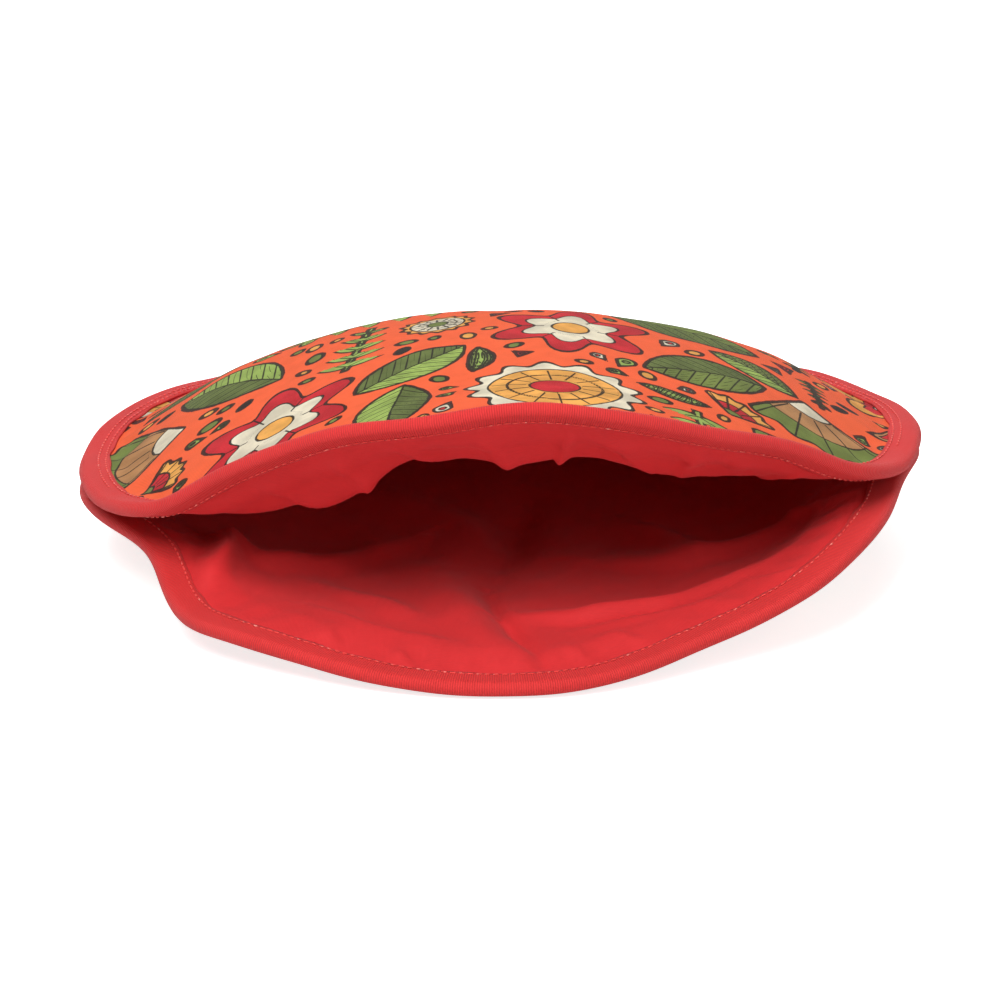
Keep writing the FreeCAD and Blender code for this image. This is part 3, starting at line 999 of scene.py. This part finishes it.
def stitches(name, rows):
    look = stitchLook
    points = np.concatenate(rows)
    edges = []
    start = 0
    for row in rows:
        edges += [(start + i, start + i + 1) for i in range(len(row) - 1)]
        start += len(row)
    mesh = bpy.data.meshes.new(name + "_line")
    mesh.from_pydata((points * pouch["toMetres"]).tolist(), edges, [])
    line = bpy.data.objects.new(name + "_line", mesh)
    bpy.context.scene.collection.objects.link(line)
    modifier = line.modifiers.new("stitches", "NODES")
    modifier.node_group = stitchTree
    ids = {item.name: item.identifier for item in stitchTree.interface.items_tree if item.in_out == "INPUT"}
    for key in ("spacing", "length", "width", "height"):
        modifier[ids[key.capitalize()]] = look[key] * pouch["toMetres"]
    modifier[ids["Seed"]] = look["seed"]
    modifier[ids["Material"]] = materials["red_thread"]
    shown = line.evaluated_get(bpy.context.evaluated_depsgraph_get())
    made = bpy.data.meshes.new_from_object(shown)
    made.name = name
    bpy.data.objects.remove(line)
    made.shade_smooth()
    piece = bpy.data.objects.new(name, made)
    bpy.context.scene.collection.objects.link(piece)
    return piece


def threadRow(surface, inset, side, start, end):
    count = stitchLook["rowPoints"]
    angles = np.radians(np.linspace(start, end, count))
    middle = side * (tapeOutside + p["threadGap"] + p["threadHeight"] / 2)
    return onLeg(surface, angles, inset, np.full(count, middle))


def bindingRows(surface, insets):
    end = stitchLook["rowEnd"]
    return [threadRow(surface, inset, side, -end, end) for inset, side in insets]


rowInset = p["tapeLeg"] - p["stitchInset"]
upperInset = tapeLook["upperInnerLeg"] - p["stitchInset"]
upperRows = ((rowInset, 1), (upperInset, -1))
lowerRows = ((rowInset, 1), (rowInset, -1))
upperStitches = stitches("upper_binding_stitches", bindingRows(upperMiddle, upperRows))
lowerStitches = stitches("lower_binding_stitches", bindingRows(lowerMiddle, lowerRows))
closing = stitches("closing_stitches", [
    threadRow(upperMiddle, p["closingInset"], 1, p["closingFrom"], 360 - p["closingFrom"]),
    threadRow(lowerMiddle, p["closingInset"], -1, p["closingFrom"], 360 - p["closingFrom"])])
take(upperStitches, "upper_binding_stitching", "red_thread")
take(lowerStitches, "lower_binding_stitching", "red_thread")
take(closing, "closing_seam", "red_thread")
print("stitches", [len(row.data.polygons) for row in (upperStitches, lowerStitches, closing)])


# Stage: white floor and surroundings, soft lamps, camera
stage = {
    "floorWhite": 0.86, "floorGlow": 0.78, "floorSide": 6.0, "floorLevel": -0.0006, "surround": 0.11,
    "key": 35.0, "keyAt": (-0.45, -1.15, 1.5), "keySize": 1.1,
    "fill": 7.0, "fillAt": (0.9, -1.5, 0.8), "fillSize": 1.4,
    "top": 13.0, "topAt": (0.0, 0.35, 1.7), "topSize": 1.6, "lampAim": 0.03,
    "cameraAway": 4.0, "cameraTurn": -2.5, "cameraRise": 17.5, "aim": (0.0, 0.0, 0.01947), "across": 0.3257,
}


def addStage():
    mesh = bpy.data.meshes.new("floor")
    side = stage["floorSide"]
    corners = [(x * side, y * side, stage["floorLevel"]) for x, y in ((-1, -1), (1, -1), (1, 1), (-1, 1))]
    mesh.from_pydata(corners, [], [(0, 1, 2, 3)])
    floor = bpy.data.objects.new("floor", mesh)
    bpy.context.scene.collection.objects.link(floor)
    material = bpy.data.materials.new("floorWhite")
    material.use_nodes = True
    material.node_tree.nodes.clear()
    s = shade(material.node_tree)
    paper = s.node("ShaderNodeBsdfDiffuse", {"Color": (stage["floorWhite"],) * 3 + (1,)})
    seen = s.node("ShaderNodeLightPath").outputs["Is Camera Ray"]
    strength = s.math("MULTIPLY", seen, stage["floorGlow"])
    glow = s.node("ShaderNodeEmission", {"Color": (1, 1, 1, 1), "Strength": strength})
    both = s.node("ShaderNodeAddShader", {0: paper.outputs[0], 1: glow.outputs[0]})
    s.node("ShaderNodeOutputMaterial", {0: both.outputs[0]})
    mesh.materials.append(material)
    world = bpy.data.worlds.new("surround")
    bpy.context.scene.world = world
    world.use_nodes = True
    world.node_tree.nodes.clear()
    s = shade(world.node_tree)
    path = s.node("ShaderNodeLightPath")
    mirrored = s.math("MAXIMUM", path.outputs["Is Glossy Ray"], path.outputs["Is Transmission Ray"])
    direct = s.math("MAXIMUM", path.outputs["Is Camera Ray"], mirrored)
    strength = s.range(direct, 0.0, 1.0, stage["surround"], 1.0)
    sky = s.node("ShaderNodeBackground", {"Color": (1, 1, 1, 1), "Strength": strength})
    s.node("ShaderNodeOutputWorld", {0: sky.outputs[0]})
    for name in ("key", "fill", "top"):
        lamp = bpy.data.lights.new(name, "AREA")
        lamp.energy = stage[name]
        lamp.size = stage[name + "Size"]
        holder = bpy.data.objects.new(name, lamp)
        x, y, z = stage[name + "At"]
        holder.location = (x, y, z)
        holder.rotation_euler = (math.atan2(math.hypot(x, y), z - stage["lampAim"]), 0, math.atan2(x, -y))
        bpy.context.scene.collection.objects.link(holder)


def addCamera():
    data = bpy.data.cameras.new("view")
    data.lens = 36.0 * stage["cameraAway"] / stage["across"]
    data.sensor_width = 36.0
    data.clip_end = 50.0
    camera = bpy.data.objects.new("view", data)
    a = math.radians(stage["cameraTurn"])
    e = math.radians(stage["cameraRise"])
    away = (math.sin(a) * math.cos(e), -math.cos(a) * math.cos(e), math.sin(e))
    camera.location = [stage["aim"][i] + away[i] * stage["cameraAway"] for i in range(3)]
    camera.rotation_euler = (math.pi / 2 - e, 0, a)
    bpy.context.scene.collection.objects.link(camera)
    bpy.context.scene.camera = camera


addStage()
addCamera()
bpy.context.scene.view_settings.view_transform = "Standard"
print("stage")
